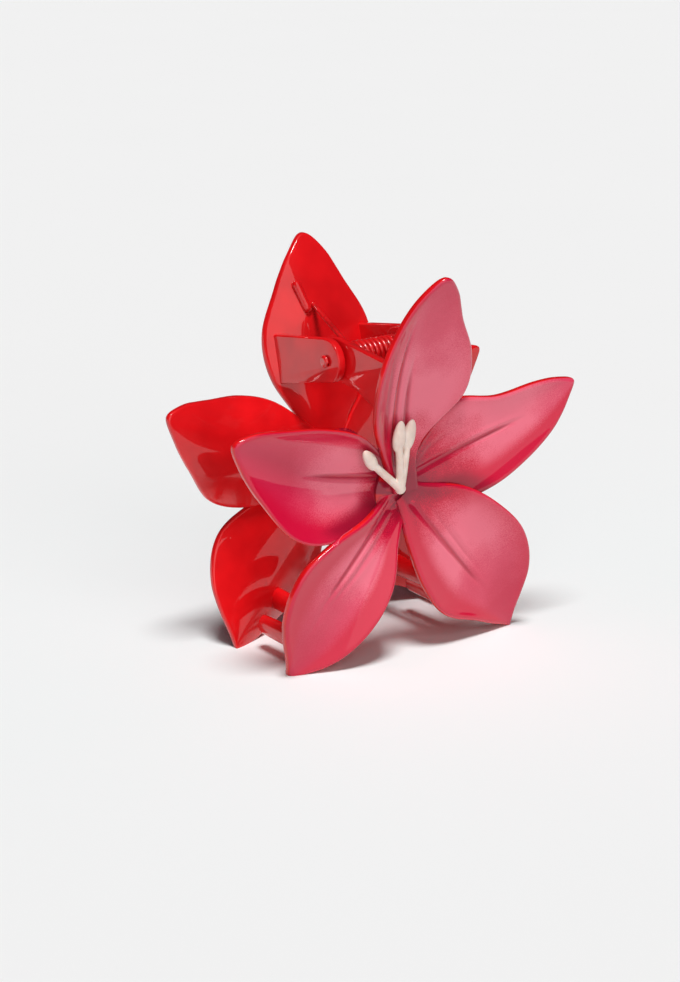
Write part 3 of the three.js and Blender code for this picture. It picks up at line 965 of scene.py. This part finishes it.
PETALS = (
    Petal(
        angle=92.5, length=45.1, root=12, tip=24.5, bow=-3.2, curl=(5.2, 1.4),
        anticlockwise=(6.7, 10.7, 10.7, 6.5, 0.9), clockwise=(3.5, 12.3, 12.7, 8.7, 5.6),
        spray_pace=0.95, margins=(1.45, 0.75),
        veins=(
            Vein(0.12, 0.85, (2.8, 3.8, 2.3), depth=0.5),
            Vein(0.1, 0.68, (0.2, 0.8, 0.6)),
            Vein(0.25, 0.78, (5.4, 6.4, 6.0), depth=0.35, width=1.2),
        ),
    ),
    Petal(
        angle=24.9, length=42.6, root=11.3, tip=15.9, bow=1, curl=(-1.1, 0.2),
        anticlockwise=(7.9, 10.9, 6.6, 4.2, 1.3), clockwise=(8.6, 10.4, 9.7, 7.3, 2.6), dish=1.5,
        spray_pace=0.72, margins=(0.7, 1.55),
        veins=(Vein(0.06, 0.72, (2.2, 0.6, -1.6)), Vein(0.12, 0.46, (4.2, 5.3, 3.6), depth=0.2)),
    ),
    Petal(
        angle=160.2, length=42.8, root=10.9, tip=11.9, bow=-0.4, curl=(3.3, 7.8),
        anticlockwise=(8.7, 13.2, 13.3, 7.7, 1.4), clockwise=(6.2, 8.9, 8.5, 6.2, 4), dish=1.2,
        spray_pace=1.3, margins=(1.25, 1.1),
        veins=(Vein(0.12, 0.62, (-2, 0.3, 1.6), depth=0.45), Vein(0.1, 0.5, (0.2, 3.2, 5), depth=0.15)),
    ),
    Petal(
        angle=-50.9, length=43.8, root=11.7, tip=10.8, bow=3.5, curl=(1.8, 0),
        anticlockwise=(9.6, 12.4, 12.8, 9.4, 0.9), clockwise=(7.5, 10.5, 10.6, 5.5, 1.4), dish=2.2,
        spray_pace=1.1, margins=(0.9, 1.5),
        veins=(Vein(0.04, 0.74, (-0.4, -0.7, -0.2)), Vein(0.06, 0.66, (1.9, 1.3, 1.3), depth=0.25)),
    ),
    Petal(
        angle=-128.7, length=43.2, root=10.1, tip=9.5, bow=5.3, curl=(2.2, 0.2),
        anticlockwise=(3.7, 7.1, 8, 6.8, 3), clockwise=(5.5, 11, 13.5, 10, 0.6), dish=2.2,
        spray_pace=1.1, margins=(1.7, 1.45),
        veins=(
            Vein(0.06, 0.7, (-1.4, -3.1, -3.9)),
            Vein(0.06, 0.66, (-0.2, -0.8, -2.6), depth=0.22),
            Vein(0.66, 0.84, (-3.2, -2.8, -2.2), depth=0.12),
        ),
    ),
)
TOP_PETAL, LOWER_RIGHT, LOWER_LEFT = PETALS[0], PETALS[3], PETALS[4]
# the back half's lower left petal is fuller on the side towards its neighbour
BACK_PETALS = (*PETALS[:4], replace(LOWER_LEFT, anticlockwise=(5.5, 12.8, 14, 8.5, 3)))


# ------------------------------------------------------------------ one half of the claw


@dataclass(frozen=True)
class Ears:
    """The two hinge ears of one half, in millimetres."""

    face: float  # outer face from the middle
    top: float  # heights of the corners at the petal
    bottom: float
    belly: float  # height of the lower edge at the belly
    wall: float = 1.65
    rounding: float = 4.4  # radius of the end about the pin
    belly_depth: float = 7.0
    bevel: float = 0.3
    corner: float = 1.0  # rounding of the corners in the outline
    neck: float = 0.2  # depth where the upper edge meets the round end, in parts of its radius
    arc: tuple[float, float] = (0.45 * math.pi, 1.35 * math.pi)  # start and end of the round end

    def outline(self, middle: float) -> list[tuple[float, float]]:
        """Outline in depth and height, with the round end as an arc.

        Args:
            middle: Place of the middle of the plate along X.

        Returns:
            The points, in order.
        """
        points = [
            (TOP_PETAL.depth_over(middle, self.bottom), self.bottom),
            (TOP_PETAL.depth_over(middle, self.top), self.top),
            (self.neck * self.rounding, PIN_HEIGHT + self.rounding),
        ]
        for angle in np.linspace(*self.arc, 28):
            points.append((self.rounding * math.cos(angle), PIN_HEIGHT + self.rounding * math.sin(angle)))
        before, corner, after = points[-1], (self.belly_depth, self.belly), points[0]
        points.extend(self.rounded(before, corner, after))
        return points

    def rounded(
        self, before: tuple[float, float], corner: tuple[float, float], after: tuple[float, float]
    ) -> list[tuple[float, float]]:
        """Rounds one corner of the outline.

        Args:
            before: The point before the corner.
            corner: The corner.
            after: The point after it.

        Returns:
            Points of a smooth curve that cuts the corner.
        """
        start, middle, end = (np.array(p) for p in (before, corner, after))
        leave = middle + (start - middle) / np.linalg.norm(start - middle) * self.corner
        arrive = middle + (end - middle) / np.linalg.norm(end - middle) * self.corner
        curve = []
        for t in np.linspace(0, 1, 6):
            point = (1 - t) ** 2 * leave + 2 * t * (1 - t) * middle + t * t * arrive
            curve.append((float(point[0]), float(point[1])))
        return curve

    def solid(self, side: int) -> bpy.types.Object:
        """Builds one ear with softened edges.

        Args:
            side: 1 for the ear at +X and -1 for the other.

        Returns:
            The ear, in the place of the back half.
        """
        start = self.face - self.wall if side > 0 else -self.face
        outline = self.outline(start + self.wall / 2)
        count = len(outline)
        points = [(start, y, z) for y, z in outline] + [(start + self.wall, y, z) for y, z in outline]
        faces = [list(range(count)), list(range(2 * count - 1, count - 1, -1))]
        faces += [[k, k + count, (k + 1) % count + count, (k + 1) % count] for k in range(count)]
        plate = mesh_object("ear", np.array(points), faces)
        work = bmesh.new()
        work.from_mesh(plate.data)
        rims = [edge for edge in work.edges if any(len(face.verts) == count for face in edge.link_faces)]
        bmesh.ops.bevel(work, geom=rims, offset=self.bevel * MM, segments=3, profile=0.5, affect="EDGES")
        work.to_mesh(plate.data)
        work.free()
        return plate


@dataclass(frozen=True)
class Tooth:
    """Place of a tooth in millimetres: x from the middle, z its height."""

    x: float
    z: float


@dataclass
class FlowerHalf:
    """One moulded half of the claw: five petals, boss, ears, teeth and the peg beside the spring."""

    side: Side
    ears: Ears
    body: str
    node: str
    petals: tuple[Petal, ...] = PETALS
    teeth: tuple[Tooth, ...] = (Tooth(22.1, 5.4), Tooth(10, 12), Tooth(-14.2, 7.2))
    tooth_tip: float = -6.3
    tooth_radius: float = 2.0
    tooth_flatten: float = 0.8
    tooth_tall: float = 1.2
    tooth_dome: float = 1.5  # length of its round end
    tooth_taper: float = 0.84  # radius where the round end starts, in parts of the root's
    boss_radius: float = 7.0
    boss_depth: float = 9.0
    boss_edge: float = 2.0  # rounding of its edge
    boss_bare: float = 0.5  # how far behind its face the bare red ends
    bore_radius: float = 1.1
    peg_radius: float = 0.9
    peg_offset: float = 4.0
    peg_heights: tuple[float, float] = (65.2, 69.8)
    peg_lean: tuple[float, float] = (0.8, -0.5)  # of its foot and head towards the spring leg
    peg_proud: float = 0.36  # from the petal's inner face to the peg's middle line
    peg_slide: float = 7.7  # along X from the back half's peg to the front half's
    slack: float = 0.08  # how far off a petal's wall a place still counts as on it
    lip_slack: float = 0.3  # the same on the outer face, whose veins have raised lips
    heart_radius: float = 8.5  # of the middle of the flower, where the spray covers every step
    heart_depth: float = 12.3
    spray_wrap: tuple[float, float] = (0.1, 0.75)  # over the wall's middle, where the spray starts
    crease_shade_reach: float = 6.0  # how far beside a higher petal the painted crease shade reaches
    crease_shade_step: tuple[float, float] = (0.2, 2.2)  # how much higher the other petal stands, for none and all of the painted shade
    crease_shade_end: tuple[float, float] = (0.5, 0.85)  # part of the length where the painted crease shade ends
    mark_radius: float = 1.5  # of the ejector pin's mark on the inner face
    mark_depth: float = 0.08
    mark_height: float = 2.0  # of the cutter that makes it
    mark_place: tuple[float, float] = (3.2, 59.5)

    FAR: ClassVar[float] = 9.0  # further than any place lies from the face of its own petal

    piece: bpy.types.Object | None = field(default=None, init=False)

    def build(self) -> bpy.types.Object:
        """Joins all solids of the half into one moulding.

        Returns:
            The moulding, in its own half's place, with its paint attributes.
        """
        solids = [petal.solid(f"petal_{i}") for i, petal in enumerate(self.petals)]
        solids.append(self.boss())
        solids += [self.ears.solid(side) for side in (-1, 1)]
        solids += [self.tooth(tooth) for tooth in self.teeth]
        solids.append(self.peg())
        base = solids[0]
        combine(base, solids[1:], Join.ADD)
        combine(base, [self.pin_bore(), self.below_floor(), self.ejector_mark()], Join.CUT)
        base.name = self.node + "_moulding"
        self.brush_paint(base.data)
        if self.side is Side.FRONT:
            mirror_to_front(base)
        self.piece = base
        return base

    def dress(self, material: bpy.types.Material) -> None:
        """Gives the moulding its finish and hands it to its body of the frame.

        Args:
            material: Its finish.
        """
        finish_surface(self.piece, material)
        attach(self.piece, self.body)
        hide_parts(self.node)

    def swap(self) -> int:
        """1 on the back half, or -1 on the front half, whose teeth and peg are swapped over."""
        return self.side.value

    def boss(self) -> bpy.types.Object:
        """The low round boss behind the middle of the flower.

        Returns:
            The boss, in the place of the back half.
        """
        edge = self.boss_edge
        bend = [
            (self.boss_radius - edge + edge * math.sin(a), self.boss_depth + edge * (1 - math.cos(a)))
            for a in np.linspace(0, math.pi / 2, 8)
        ]
        profile = [(0, self.boss_depth), *bend, (self.boss_radius, TOP_PETAL.root), (0, TOP_PETAL.root)]
        points, faces = turned_points(profile, sides=48)
        return mesh_object("boss", laid_deep(points) + (0, 0, CENTRE_HEIGHT), faces)

    def tooth(self, tooth: Tooth) -> bpy.types.Object:
        """A tapered tooth with a round end.

        Args:
            tooth: Its place on the back half.

        Returns:
            The tooth, rooted in its petal.
        """
        x = self.swap() * tooth.x
        petal = LOWER_RIGHT if x > 0 else LOWER_LEFT
        root = petal.depth_over(x, tooth.z)
        neck = self.tooth_tip + self.tooth_dome
        first = 0.12  # part of the way from the round end to the root, at the first ring
        profile = [(0.0, self.tooth_tip)]
        for a in np.linspace(POLE_ANGLE, math.pi / 2, 9):
            depth = self.tooth_tip + self.tooth_dome * (1 - math.cos(a))
            profile.append((self.tooth_taper * self.tooth_radius * math.sin(a), depth))
        for part in np.linspace(first, 1, 8):
            radius = self.tooth_radius * (self.tooth_taper + (1 - self.tooth_taper) * part)
            profile.append((radius, neck + (root - neck) * part))
        profile.append((0.0, root))
        points, faces = turned_points(profile, sides=36)
        points = laid_deep(points) * (self.tooth_flatten, 1, self.tooth_tall)
        return mesh_object("tooth", points + (x, 0, tooth.z), faces)

    def peg(self) -> bpy.types.Object:
        """The round peg that lies up the inner face of the top petal, half sunk in it.

        Returns:
            The peg, in the place of the back half.
        """
        slide = self.peg_slide if self.side is Side.FRONT else 0.0
        ends = []
        for height, lean in zip(self.peg_heights, self.peg_lean):
            depth = TOP_PETAL.depth_over(-self.peg_offset, height) - WALL / 2 - self.peg_proud
            ends.append(np.array([slide - self.peg_offset + lean, depth, height]))
        parts = np.linspace(0, 1, 12)[:, None]
        line = ends[0] * (1 - parts) + ends[1] * parts
        points, faces = tube_points(line, np.full(len(line), self.peg_radius), sides=28)
        return mesh_object("peg", points, faces)

    def pin_bore(self) -> bpy.types.Object:
        """The hole through both ears.

        Returns:
            The solid to cut out.
        """
        reach = 16.0
        profile = [(0, -reach), (self.bore_radius, -reach), (self.bore_radius, reach), (0, reach)]
        points, faces = turned_points(profile, sides=40)
        return mesh_object("bore", laid_on_pin(points), faces)

    def below_floor(self) -> bpy.types.Object:
        """Everything under the small flats that the clip stands on.

        Returns:
            The solid to cut out.
        """
        size, deep = 100.0, 20.0
        points = [(x, y, z) for x in (-size, size) for y in (-size, size) for z in (-deep, 0.0)]
        faces = [[0, 1, 3, 2], [4, 6, 7, 5], [0, 4, 5, 1], [2, 3, 7, 6], [0, 2, 6, 4], [1, 5, 7, 3]]
        return mesh_object("floor_cut", np.array(points), faces)

    def ejector_mark(self) -> bpy.types.Object:
        """The shallow round mark of an ejector pin on the inner face of the top petal.

        Returns:
            The solid to cut out.
        """
        x, z = self.mark_place
        x *= self.swap()
        step = 0.5
        depth = TOP_PETAL.depth_over(x, z)
        rise = Vector((0, TOP_PETAL.depth_over(x, z + step) - depth, step))
        across = Vector((step, TOP_PETAL.depth_over(x + step, z) - depth, 0))
        normal = rise.cross(across).normalized()
        profile = [(0, 0), (self.mark_radius, 0), (self.mark_radius, self.mark_height), (0, self.mark_height)]
        points, faces = turned_points(profile, sides=40)
        turn = np.array(Vector((0, 0, 1)).rotation_difference(normal).to_matrix())
        sunk = WALL / 2 - self.mark_depth + self.mark_height
        place = np.array([x, depth, z]) - np.array(normal) * sunk
        return mesh_object("mark", points @ turn.T + place, faces)

    def brush_paint(self, mesh: bpy.types.Mesh) -> None:
        """Stores where the spray reaches, each place along and across its petal, and where painted shade goes
        beside higher petals and in the vein grooves.

        Args:
            mesh: The moulding, still in the place of the back half.
        """
        co = np.zeros(len(mesh.vertices) * 3, np.float32)
        mesh.vertices.foreach_get("co", co)
        co = co.reshape(-1, 3).astype(float)
        x, y, z = (co[:, 0] - PIN_MIDDLE) / MM, co[:, 1] / MM, co[:, 2] / MM
        best = np.full(len(x), self.FAR)
        layers = {name: np.zeros_like(x) for name in ("paint", "along", "across", "shade", "groove")}
        for petal in self.petals:
            s, b = petal.local(x, z)
            part = np.clip(s, 0, 1)
            low, high = petal.edges(part)
            over = y - petal.depth(s, b)
            inside = (s > -self.slack) & (s < 1 + self.slack / petal.length)
            inside &= (b > low - self.slack) & (b < high + self.slack)
            inside &= (over > -WALL / 2 - self.slack) & (over < WALL / 2 + self.lip_slack)
            gap = np.where(inside, np.abs(WALL / 2 - over), self.FAR)
            nearer = gap < best
            best = np.where(nearer, gap, best)
            half = np.where(b > 0, high, -low)
            margin = np.where(b > 0, petal.margins[0], petal.margins[1])
            found = {
                "paint": smoothstep(*self.spray_wrap, over),
                "along": s * petal.spray_pace,
                "across": margin * b / np.maximum(half, petal.TIP_HALF_WIDTH),
                # painted shade: darker in the crease beside a higher petal
                "shade": self.covered(petal, x, y, z) * (1 - smoothstep(*self.crease_shade_end, s)),
                # the vein depth, which also sets the painted shade in the grooves
                "groove": sum((vein.cut(part, b) for vein in petal.veins), 0 * s) / Vein.depth,
            }
            for name, values in found.items():
                layers[name] = np.where(nearer, values, layers[name])
        away = np.hypot(x, z - CENTRE_HEIGHT)
        bare = np.where(away < self.boss_radius, self.boss_depth + self.boss_bare, self.heart_depth)
        heart = (away < self.heart_radius) & (y > bare)
        layers["paint"] = np.where(heart, 1.0, layers["paint"])
        for name, values in layers.items():
            layer = mesh.attributes.new(name, "FLOAT", "POINT")
            layer.data.foreach_set("value", values.astype(np.float32))

    def covered(self, petal: Petal, x: np.ndarray, y: np.ndarray, z: np.ndarray) -> np.ndarray:
        """How close each place lies beside a petal that stands further out, for the painted shade in the
        crease there.

        Args:
            petal: The petal that the places belong to.
            x: Places from the middle of the flower.
            y: Their depths.
            z: Their heights.

        Returns:
            1 right beside a higher petal, falling to 0.
        """
        shade = np.zeros_like(x)
        for other in self.petals:
            if other is petal:
                continue
            s, b = other.local(x, z)
            low, high = other.edges(np.clip(s, 0, 1))
            away = np.maximum(np.maximum(low - b, b - high), 0)
            step = other.depth(np.clip(s, 0, 1), np.clip(b, low, high)) + WALL / 2 - y
            near = smoothstep(self.crease_shade_reach, 0.0, away) * smoothstep(*self.crease_shade_step, step)
            shade = np.maximum(shade, np.where((s > 0) & (s < 1), near, 0.0))
        return shade


# ------------------------------------------------------------------ stamens


@dataclass(frozen=True)
class Stamen:
    """One stamen: where its anther starts and ends (x, z), and the anther's half width, in mm."""

    foot: tuple[float, float]
    tip: tuple[float, float]
    width: float


@dataclass
class StamenSprig:
    """The cream sprig glued on the middle of one flower."""

    side: Side
    body: str
    node: str
    stamens: tuple[Stamen, ...] = (
        Stamen((-8.6, 40.2), (-11.6, 44.4), 1.3),
        Stamen((-4.1, 43), (-3.9, 49.6), 1.45),
        Stamen((-2.1, 42.6), (-0.8, 49.3), 1.5),
    )
    root: tuple[float, float] = (-2.8, 35.2)
    filament: float = 0.8
    anther_half: float = 0.92
    lift: float = 0.4
    margin: float = 1.0  # the sprig also clears a petal whose rim is this near
    heel: tuple[float, float, float] = (1.15, 0.85, 1.1)  # half sizes
    arch: float = 0.5  # how far a filament bows out between heel and anther
    swell: float = 0.08  # how much fatter a filament is at its foot, and leaner at its top
    anther_overlap: float = 0.3  # part of an anther's length that its filament runs into
    anther_swell: float = 0.12  # how much fatter an anther is towards its filament
    voxel: float = 0.13
    piece: bpy.types.Object | None = field(default=None, init=False)

    def surface(self, x: float, z: float, half: float) -> np.ndarray:
        """Point of a stamen's middle line over the petals.

        Args:
            x: Place from the middle of the flower.
            z: Height.
            half: Half thickness of what lies there.

        Returns:
            The point, in the place of the back half.
        """
        depths = []
        for petal in PETALS:
            s, b = petal.local(np.array([x]), np.array([z]))
            low, high = petal.edges(np.clip(s, 0, 1))
            covered = (s >= 0) & (s <= 1) & (b >= low - self.margin) & (b <= high + self.margin)
            depths.append(float(np.where(covered, petal.depth(s, b), petal.root)[0]))
        return np.array([x, max(depths) + WALL / 2 + self.lift + half, z])

    def build(self) -> bpy.types.Object:
        """Builds filaments, anthers and base, and melts them into one soft moulding.

        Returns:
            The sprig.
        """
        solids = [self.base()]
        for stamen in self.stamens:
            solids += self.parts(stamen)
        piece = solids[0]
        combine(piece, solids[1:], Join.ADD)
        melt = piece.modifiers.new("melt", "REMESH")
        melt.mode = "VOXEL"
        melt.voxel_size = self.voxel * MM
        soften = piece.modifiers.new("soften", "SMOOTH")
        soften.factor = 0.5
        soften.iterations = 5
        apply_modifiers(piece)
        if self.side is Side.FRONT:
            mirror_to_front(piece)
        piece.name = self.node + "_sprig"
        self.piece = piece
        return piece

    def dress(self, material: bpy.types.Material) -> None:
        """Gives the sprig its finish and hands it to its body of the frame.

        Args:
            material: Its finish.
        """
        finish_surface(self.piece, material)
        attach(self.piece, self.body)
        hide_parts(self.node)

    def base(self) -> bpy.types.Object:
        """The rounded heel where the three filaments meet.

        Returns:
            The heel, in the place of the back half.
        """
        profile = [(math.sin(a), -math.cos(a)) for a in np.linspace(0, math.pi, 17)]
        points, faces = turned_points(profile, sides=32)
        points = laid_deep(points) * self.heel
        return mesh_object("heel", points + self.surface(*self.root, self.heel[1]), faces)

    def parts(self, stamen: Stamen) -> list[bpy.types.Object]:
        """One stamen's filament and anther.

        Args:
            stamen: Its places.

        Returns:
            The two solids.
        """
        root = self.surface(*self.root, self.filament)
        start = self.surface(*stamen.foot, self.anther_half)
        end = self.surface(*stamen.tip, self.anther_half)
        inside = start * (1 - self.anther_overlap) + end * self.anther_overlap
        bend = (root + start) / 2 + (0, self.arch, 0)
        t = np.linspace(0, 1, 24)[:, None]
        line = (1 - t) ** 2 * root + 2 * t * (1 - t) * bend + t * t * inside
        radii = self.filament * (1 + self.swell * (1 - 2 * t[:, 0]))
        filament = mesh_object("filament", *tube_points(line, radii, sides=20))
        profile = []
        for a in np.linspace(0, math.pi, 21):
            fat = math.sin(a) * (1 + self.anther_swell * math.cos(a))
            profile.append((max(fat, 0.0), -math.cos(a)))
        points, faces = turned_points(profile, sides=28)
        along = (end - start) / np.linalg.norm(end - start)
        out = np.array([0.0, 1.0, 0.0])
        wide = np.cross(along, out)
        wide /= np.linalg.norm(wide)
        out = np.cross(wide, along)
        points = points * (stamen.width, self.anther_half, np.linalg.norm(end - start) / 2)
        points = points @ np.array([wide, out, along]) + (start + end) / 2
        return [filament, mesh_object("anther", points, faces)]


# ------------------------------------------------------------------ hardware


@dataclass
class HingePin:
    """The pin through all four ears, with a rivet head peened over at each end, in mm."""

    radius: float = 0.8
    head_radius: float = 1.25
    head_rise: float = 0.68
    seat: float = 10.7  # where the heads start, from the middle
    head_lip: float = 0.1  # height of a head's straight rim
    fillet: float = 0.08  # under a head
    dimple: float = 0.16
    dimple_spread: float = 0.45
    hammer_marks: int = 7
    hammer_depth: float = 0.05  # in parts of the radius
    piece: bpy.types.Object | None = field(default=None, init=False)

    def build(self) -> bpy.types.Object:
        """Builds the pin as one turned body with hammered heads.

        Returns:
            The pin.
        """
        end = self.seat + self.head_rise
        dome = []
        for a in np.linspace(math.pi / 2, POLE_ANGLE, 9):
            dip = self.dimple * math.exp(-(math.sin(a) / self.dimple_spread) ** 2)
            height = self.head_lip + (self.head_rise - self.head_lip) * math.cos(a) - dip
            dome.append((self.head_radius * math.sin(a), self.seat + height))
        half = [
            (self.radius, 0.0),
            (self.radius, self.seat - self.fillet),
            (self.radius + self.fillet, self.seat),
            (self.head_radius, self.seat),
            *dome,
            (0.0, end - self.dimple),
        ]
        lower = [(r, -h) for r, h in reversed(half[1:])]
        points, faces = turned_points(lower + half, sides=56)
        turn = np.arctan2(points[:, 1], points[:, 0])
        outside = smoothstep(self.radius, self.head_radius, np.hypot(points[:, 0], points[:, 1]))
        beat = 1 - self.hammer_depth * outside * (0.5 + 0.5 * np.cos(self.hammer_marks * turn))
        points[:, :2] *= beat[:, None]
        self.piece = mesh_object("hinge_pin_riveted", laid_on_pin(points), faces)
        return self.piece

    def dress(self, material: bpy.types.Material) -> None:
        """Gives the pin its finish and hands it to its body of the frame.

        Args:
            material: Its finish.
        """
        finish_surface(self.piece, material)
        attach(self.piece, "back_jaw")
        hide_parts("hinge_pin")


@dataclass
class JawSpring:
    """The torsion spring round the pin, in mm: a close coil with one straight leg to each petal."""

    wire: float = 0.5
    coil_radius: float = 2.6
    coil_half: float = 5.5
    turns: int = 10
    slope: float = 14.0  # degrees of a leg above level
    leg: float = 17.9
    leg_tip_x: float = 1.9
    steps: int = 720
    piece: bpy.types.Object | None = field(default=None, init=False)

    def line(self) -> np.ndarray:
        """The wire's centre line: back leg, coil and front leg.

        Returns:
            Its points.
        """
        slope = math.radians(self.slope)
        sweep = self.turns * 2 * math.pi - 2 * slope
        coil = sweep * self.coil_radius
        travelled = np.linspace(-self.leg, coil + self.leg, self.steps)
        part = np.clip(travelled / coil, 0, 1)
        past = travelled - part * coil
        angle = math.pi / 2 + slope + part * sweep
        lean = np.abs(past) / self.leg * (self.coil_half - self.leg_tip_x)
        x = (2 * part - 1) * self.coil_half
        return np.column_stack([
            x - np.sign(x) * lean,
            self.coil_radius * np.cos(angle) - past * np.sin(angle),
            PIN_HEIGHT + self.coil_radius * np.sin(angle) + past * np.cos(angle),
        ])

    def build(self) -> bpy.types.Object:
        """Builds the wire.

        Returns:
            The spring.
        """
        line = self.line()
        points, faces = tube_points(line, np.full(len(line), self.wire), sides=14)
        self.piece = mesh_object("jaw_spring_wire", points, faces)
        return self.piece

    def dress(self, material: bpy.types.Material) -> None:
        """Gives the spring its finish, fixes its place in its mesh and hides the CAD spring.

        Args:
            material: Its finish.
        """
        finish_surface(self.piece, material)
        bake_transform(self.piece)
        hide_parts("jaw_spring")


# ------------------------------------------------------------------ studio


@dataclass(frozen=True)
class SoftSun:
    """A far soft light: the way its light travels, its strength, and how wide it looks in degrees."""

    name: str
    toward: tuple[float, float, float]
    strength: float
    spread: float


@dataclass
class Studio:
    """Floor, lights and camera; lengths in metres."""

    azimuth: float = 35.3  # degrees of the camera to the left of straight ahead
    elevation: float = 17.3
    distance: float = 0.6
    aim_height: float = 0.0306
    lens: float = 109.98
    shift_x: float = -0.0301
    floor_half: float = 4.0
    room: str = "#282828"
    suns: tuple[SoftSun, ...] = (
        SoftSun("key", (0.15, 0.28, -1.0), 2.85, 16),
        SoftSun("fill", (0.3, 0.9, -0.35), 1.05, 60),
    )

    def build(self, floor_finish: bpy.types.Material) -> None:
        """Sets up everything round the object.

        Args:
            floor_finish: The floor's material.
        """
        self.camera()
        self.floor(floor_finish)
        self.lights()
        self.world()
        bpy.context.scene.view_settings.view_transform = "Standard"

    def camera(self) -> None:
        """Places the camera."""
        turn, rise = math.radians(self.azimuth), math.radians(self.elevation)
        back = Vector((-math.sin(turn) * math.cos(rise), -math.cos(turn) * math.cos(rise), math.sin(rise)))
        data = bpy.data.cameras.new("camera")
        data.lens = self.lens
        data.shift_x = self.shift_x
        data.clip_start = 0.01
        camera = bpy.data.objects.new("camera", data)
        camera.location = Vector((PIN_MIDDLE, 0, self.aim_height)) + back * self.distance
        camera.rotation_euler = back.to_track_quat("Z", "Y").to_euler()
        bpy.context.scene.collection.objects.link(camera)
        bpy.context.scene.camera = camera

    def floor(self, finish: bpy.types.Material) -> None:
        """Lays the paper just under the feet.

        Args:
            finish: The paper.
        """
        half = self.floor_half / MM
        points = np.array([(-half, -half, 0), (half, -half, 0), (half, half, 0), (-half, half, 0)])
        floor = mesh_object("floor", points, [[0, 1, 2, 3]])
        floor.data.materials.append(finish)

    def lights(self) -> None:
        """Hangs the key light overhead, a little to the front left, and a broad weak fill low in front."""
        for sun in self.suns:
            data = bpy.data.lights.new(sun.name, "SUN")
            data.energy = sun.strength
            data.angle = math.radians(sun.spread)
            light = bpy.data.objects.new(sun.name, data)
            light.rotation_euler = Vector(sun.toward).to_track_quat("-Z", "Y").to_euler()
            bpy.context.scene.collection.objects.link(light)

    def world(self) -> None:
        """Gives the room its soft light."""
        world = bpy.data.worlds.new("room")
        world.use_nodes = True
        tree = world.node_tree
        tree.nodes.clear()
        glow = add_node(tree, "ShaderNodeBackground", {"Color": linear(self.room), "Strength": 1.0})
        add_node(tree, "ShaderNodeOutputWorld", {"Surface": glow.outputs["Background"]})
        bpy.context.scene.world = world


# ------------------------------------------------------------------ assembly


def main() -> None:
    """Builds every piece in order and reports it."""
    logging.basicConfig(level=logging.INFO, format="%(name)s: %(message)s")
    Studio().build(StudioFloor().material())
    lacquered = AirbrushedAbs().material()
    enamelled = EnamelledSteel().material()
    cream = CreamPolypropylene().material()
    outer = Ears(face=10.4, top=60.4, bottom=50.7, belly=53.1)
    inner = Ears(face=8.3, top=61.8, bottom=51, belly=54.4)
    assemblies = (
        (FlowerHalf(Side.FRONT, inner, "front_jaw", "front_flower"), lacquered),
        (FlowerHalf(Side.BACK, outer, "back_jaw", "back_flower", BACK_PETALS), lacquered),
        (HingePin(), enamelled),
        (JawSpring(), enamelled),
        (StamenSprig(Side.FRONT, "front_jaw", "front_stamens"), cream),
        (StamenSprig(Side.BACK, "back_jaw", "back_stamens"), cream),
    )
    for assembly, material in assemblies:
        piece = assembly.build()
        assembly.dress(material)
        LOG.info("%s: %d faces, %s", piece.name, len(piece.data.polygons), material.name)


if __name__ == "__main__":
    main()
